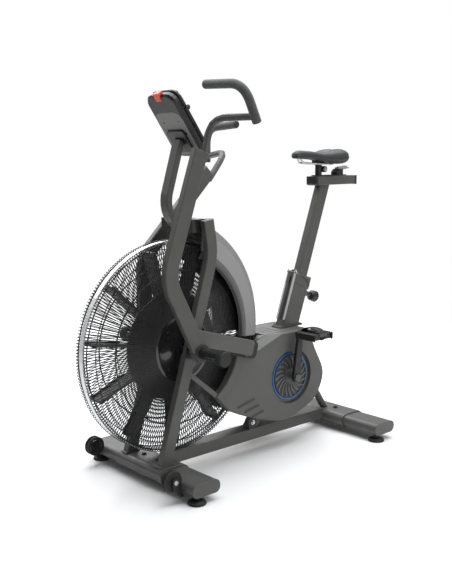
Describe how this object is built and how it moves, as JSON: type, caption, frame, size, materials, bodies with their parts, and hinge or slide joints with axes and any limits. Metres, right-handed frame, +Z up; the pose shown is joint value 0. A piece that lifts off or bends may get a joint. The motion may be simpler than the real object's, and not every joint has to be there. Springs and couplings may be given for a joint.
{
  "type": "air bike",
  "caption": "Exercise bike with a large caged fan as its brake, two linked swinging handle levers, pedals and a saddle adjustable up and along.",
  "frame": {"origin": "on the floor, under the middle of the bike's length and width", "axes": "+Z up, +X from the fan towards the saddle, -Y on the rider's left"},
  "size_m": [1.285, 0.652, 1.329],
  "materials": {
    "frame_paint": "satin charcoal grey powder coat",
    "shell_plastic": "fine-textured warm grey moulded plastic",
    "shroud_plastic": "satin light grey moulded plastic",
    "black_plastic": "satin black moulded plastic",
    "crank_paint": "satin black paint",
    "rubber": "matt black rubber",
    "foam": "dark grey closed-cell foam, soft texture",
    "steel": "bright turned steel",
    "silver": "bright silver, near white",
    "wire_paint": "satin black coated wire",
    "red_plastic": "bright red-orange plastic",
    "screen_glass": "dark glossy display window",
    "saddle_skin": "dark grey synthetic leather with a soft sheen"
  },
  "bodies": {
    "frame": {"front_stabilizer": "frame_paint", "front_sleeve": "frame_paint", "rear_stabilizer": "frame_paint", "rear_sleeve": "frame_paint", "main_beam": "frame_paint", "front_left_foot": "rubber", "rear_left_foot": "rubber", "front_right_foot": "rubber", "rear_right_foot": "rubber", "left_wheel_bracket": "black_plastic", "right_wheel_bracket": "black_plastic", "left_leg": "frame_paint", "right_leg": "frame_paint", "fork_crown": "black_plastic", "console_mast": "frame_paint", "console_back": "black_plastic", "console_front": "black_plastic", "console_screen": "screen_glass", "console_keypad": "rubber", "red_tab": "red_plastic", "left_peg": "black_plastic", "left_side_bar": "shell_plastic", "right_peg": "black_plastic", "right_side_bar": "shell_plastic", "fan_axle": "steel", "cage_ring": "silver", "left_grille": "wire_paint", "right_grille": "wire_paint", "left_shroud": "shroud_plastic", "right_shroud": "shroud_plastic", "left_cover": "shell_plastic", "right_cover": "shell_plastic", "housing_band": "shell_plastic", "bottom_bracket": "frame_paint", "rear_strut": "frame_paint", "seat_tube": "frame_paint", "belt": "rubber"},
    "left_transport_wheel": {"left_transport_wheel": "rubber"},
    "right_transport_wheel": {"right_transport_wheel": "rubber"},
    "crank": {"crank_axle": "steel", "drive_pulley": "black_plastic", "left_crank": "crank_paint", "right_crank": "crank_paint", "left_turbine": "black_plastic", "right_turbine": "black_plastic"},
    "fan": {"fan_rotor": "black_plastic", "fan_pulley": "steel"},
    "left_pedal": {"left_pedal": "black_plastic"},
    "right_pedal": {"right_pedal": "black_plastic"},
    "left_lever": {"left_lever": "frame_paint", "left_grip": "foam"},
    "right_lever": {"right_lever": "frame_paint", "right_grip": "foam"},
    "seat_post": {"seat_post": "frame_paint", "seat_rail": "frame_paint"},
    "carriage": {"seat_carriage": "black_plastic", "saddle": "saddle_skin"},
    "rail_lever": {"rail_lever": "steel"},
    "seat_knob": {"seat_knob": "black_plastic"},
    "start_button": {"start_button": "black_plastic"}
  },
  "joints": [
    {"name": "left_wheel_roll", "type": "hinge", "parent": "frame", "child": "left_transport_wheel", "pos_m": [-0.4645, -0.224, 0.077], "axis": [0, 1, 0], "continuous": true},
    {"name": "right_wheel_roll", "type": "hinge", "parent": "frame", "child": "right_transport_wheel", "pos_m": [-0.4645, 0.224, 0.077], "axis": [0, 1, 0], "continuous": true},
    {"name": "crank_spin", "type": "hinge", "parent": "frame", "child": "crank", "pos_m": [0.2045, 0, 0.271], "axis": [0, 1, 0], "continuous": true},
    {"name": "fan_spin", "type": "hinge", "parent": "frame", "child": "fan", "pos_m": [-0.2815, 0, 0.449], "axis": [0, 1, 0], "continuous": true},
    {"name": "left_pedal_spin", "type": "hinge", "parent": "crank", "child": "left_pedal", "pos_m": [0.22522, -0.184, 0.43973], "axis": [0, 1, 0], "continuous": true},
    {"name": "right_pedal_spin", "type": "hinge", "parent": "crank", "child": "right_pedal", "pos_m": [0.18378, 0.184, 0.10227], "axis": [0, 1, 0], "continuous": true},
    {"name": "left_lever_swing", "type": "hinge", "parent": "frame", "child": "left_lever", "pos_m": [-0.2815, 0, 0.449], "axis": [0, 1, 0], "range_deg": [0, 26]},
    {"name": "right_lever_swing", "type": "hinge", "parent": "frame", "child": "right_lever", "pos_m": [-0.2815, 0, 0.449], "axis": [0, 1, 0], "range_deg": [-26, 0]},
    {"name": "seat_height", "type": "slide", "parent": "frame", "child": "seat_post", "axis": [0.3387, 0, 0.9409], "range_m": [-0.18, 0.02]},
    {"name": "seat_reach", "type": "slide", "parent": "seat_post", "child": "carriage", "axis": [1, 0, 0], "range_m": [-0.015, 0.03]},
    {"name": "rail_lever_turn", "type": "hinge", "parent": "carriage", "child": "rail_lever", "pos_m": [0.5595, 0, 1.037], "axis": [0, 0, 1], "range_deg": [0, 90]},
    {"name": "seat_knob_pull", "type": "slide", "parent": "frame", "child": "seat_knob", "axis": [0.9409, 0, -0.3387], "range_m": [0, 0.012], "stiffness_N_per_m": 900, "springref_m": -0.003},
    {"name": "start_button_press", "type": "slide", "parent": "frame", "child": "start_button", "axis": [-0.8197, 0, -0.5728], "range_m": [0, 0.002], "stiffness_N_per_m": 400, "springref_m": -0.001}
  ],
  "couplings": [
    {"joint": "fan_spin", "follows": "crank_spin", "ratio": 3.6667},
    {"joint": "right_lever_swing", "follows": "left_lever_swing", "ratio": -1}
  ]
}
